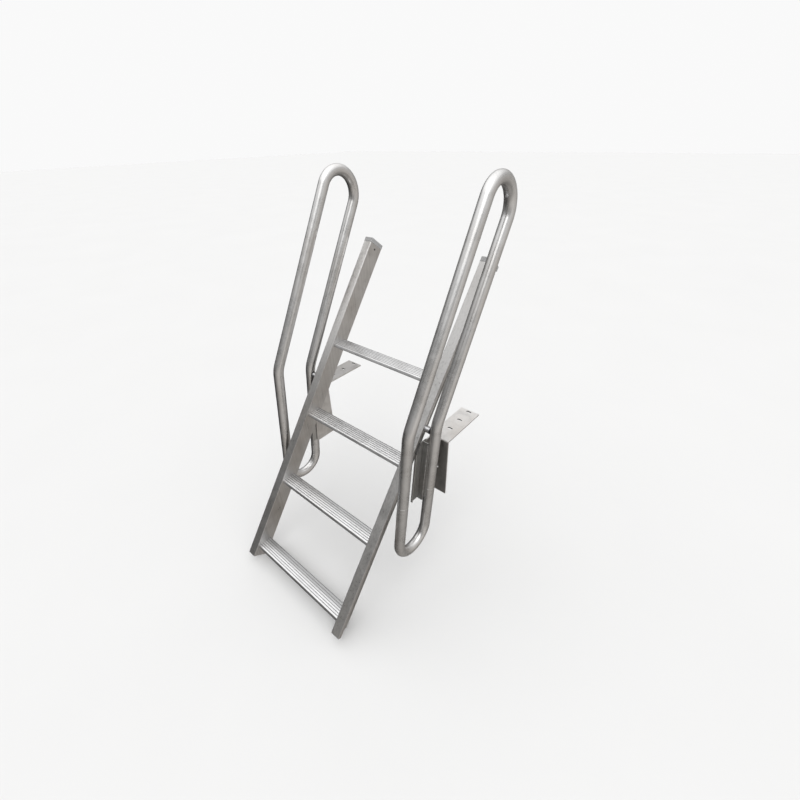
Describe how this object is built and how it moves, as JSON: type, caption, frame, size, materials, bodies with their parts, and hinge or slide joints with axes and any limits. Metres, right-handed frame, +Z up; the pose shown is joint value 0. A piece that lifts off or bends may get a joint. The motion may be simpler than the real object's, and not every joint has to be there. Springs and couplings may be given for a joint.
{
  "type": "boat boarding ladder",
  "caption": "Slanted aluminium boarding ladder with grooved treads, swinging between two tubular hand hoops fixed to brackets that hook over a dock edge.",
  "frame": {"origin": "middle of the bottom of the bounding box; the top front edge of the dock is at Y 0.0964, Z 0.6517", "axes": "+Z up, +X right along the dock edge, +Y in over the dock"},
  "size_m": [0.726, 0.9316, 1.475],
  "materials": {
    "left_stile": "mill finish channel extrusion",
    "left_stile_cap": "moulded grey",
    "left_cap_screw": "stainless",
    "left_pivot_boss": "stainless",
    "left_tread_1_screw_front": "stainless",
    "left_tread_1_screw_rear": "stainless",
    "left_tread_2_screw_front": "stainless",
    "left_tread_2_screw_rear": "stainless",
    "left_tread_3_screw_front": "stainless",
    "left_tread_3_screw_rear": "stainless",
    "left_tread_4_screw_front": "stainless",
    "left_tread_4_screw_rear": "stainless",
    "right_stile": "mill finish channel extrusion",
    "right_stile_cap": "moulded grey",
    "right_cap_screw": "stainless",
    "right_pivot_boss": "stainless",
    "right_tread_1_screw_front": "stainless",
    "right_tread_1_screw_rear": "stainless",
    "right_tread_2_screw_front": "stainless",
    "right_tread_2_screw_rear": "stainless",
    "right_tread_3_screw_front": "stainless",
    "right_tread_3_screw_rear": "stainless",
    "right_tread_4_screw_front": "stainless",
    "right_tread_4_screw_rear": "stainless",
    "tread_1": "mill finish grooved extrusion",
    "tread_2": "mill finish grooved extrusion",
    "tread_3": "mill finish grooved extrusion",
    "tread_4": "mill finish grooved extrusion",
    "left_dock_bracket": "mill finish plate",
    "left_hoop_mount": "mill finish plate",
    "left_mount_bolt_1": "stainless",
    "left_mount_bolt_2": "stainless",
    "left_mount_nut_1": "stainless",
    "left_mount_nut_2": "stainless",
    "left_hoop_upper": "satin drawn tube",
    "left_hoop_lower": "satin drawn tube",
    "left_front_splice": "satin drawn tube",
    "left_rear_splice": "satin drawn tube",
    "left_pivot_pin": "stainless",
    "left_pivot_washer": "black nylon",
    "left_rest_pad": "black",
    "right_dock_bracket": "mill finish plate",
    "right_hoop_mount": "mill finish plate",
    "right_mount_bolt_1": "stainless",
    "right_mount_bolt_2": "stainless",
    "right_mount_nut_1": "stainless",
    "right_mount_nut_2": "stainless",
    "right_hoop_upper": "satin drawn tube",
    "right_hoop_lower": "satin drawn tube",
    "right_front_splice": "satin drawn tube",
    "right_rear_splice": "satin drawn tube",
    "right_pivot_pin": "stainless",
    "right_pivot_washer": "black nylon",
    "right_rest_pad": "black"
  },
  "bodies": {
    "hanger": {"left_dock_bracket": "left_dock_bracket", "left_hoop_mount": "left_hoop_mount", "left_mount_bolt_1": "left_mount_bolt_1", "left_mount_bolt_2": "left_mount_bolt_2", "left_mount_nut_1": "left_mount_nut_1", "left_mount_nut_2": "left_mount_nut_2", "left_hoop_upper": "left_hoop_upper", "left_hoop_lower": "left_hoop_lower", "left_front_splice": "left_front_splice", "left_rear_splice": "left_rear_splice", "left_pivot_pin": "left_pivot_pin", "left_pivot_washer": "left_pivot_washer", "left_rest_pad": "left_rest_pad", "right_dock_bracket": "right_dock_bracket", "right_hoop_mount": "right_hoop_mount", "right_mount_bolt_1": "right_mount_bolt_1", "right_mount_bolt_2": "right_mount_bolt_2", "right_mount_nut_1": "right_mount_nut_1", "right_mount_nut_2": "right_mount_nut_2", "right_hoop_upper": "right_hoop_upper", "right_hoop_lower": "right_hoop_lower", "right_front_splice": "right_front_splice", "right_rear_splice": "right_rear_splice", "right_pivot_pin": "right_pivot_pin", "right_pivot_washer": "right_pivot_washer", "right_rest_pad": "right_rest_pad"},
    "ladder": {"left_stile": "left_stile", "left_stile_cap": "left_stile_cap", "left_cap_screw": "left_cap_screw", "left_pivot_boss": "left_pivot_boss", "left_tread_1_screw_front": "left_tread_1_screw_front", "left_tread_1_screw_rear": "left_tread_1_screw_rear", "left_tread_2_screw_front": "left_tread_2_screw_front", "left_tread_2_screw_rear": "left_tread_2_screw_rear", "left_tread_3_screw_front": "left_tread_3_screw_front", "left_tread_3_screw_rear": "left_tread_3_screw_rear", "left_tread_4_screw_front": "left_tread_4_screw_front", "left_tread_4_screw_rear": "left_tread_4_screw_rear", "right_stile": "right_stile", "right_stile_cap": "right_stile_cap", "right_cap_screw": "right_cap_screw", "right_pivot_boss": "right_pivot_boss", "right_tread_1_screw_front": "right_tread_1_screw_front", "right_tread_1_screw_rear": "right_tread_1_screw_rear", "right_tread_2_screw_front": "right_tread_2_screw_front", "right_tread_2_screw_rear": "right_tread_2_screw_rear", "right_tread_3_screw_front": "right_tread_3_screw_front", "right_tread_3_screw_rear": "right_tread_3_screw_rear", "right_tread_4_screw_front": "right_tread_4_screw_front", "right_tread_4_screw_rear": "right_tread_4_screw_rear", "tread_1": "tread_1", "tread_2": "tread_2", "tread_3": "tread_3", "tread_4": "tread_4"}
  },
  "joints": [
    {"name": "ladder_tilt", "type": "hinge", "parent": "hanger", "child": "ladder", "pos_m": [0, 0.05177, 0.70966], "axis": [1, 0, 0], "range_deg": [-50, 0]}
  ]
}
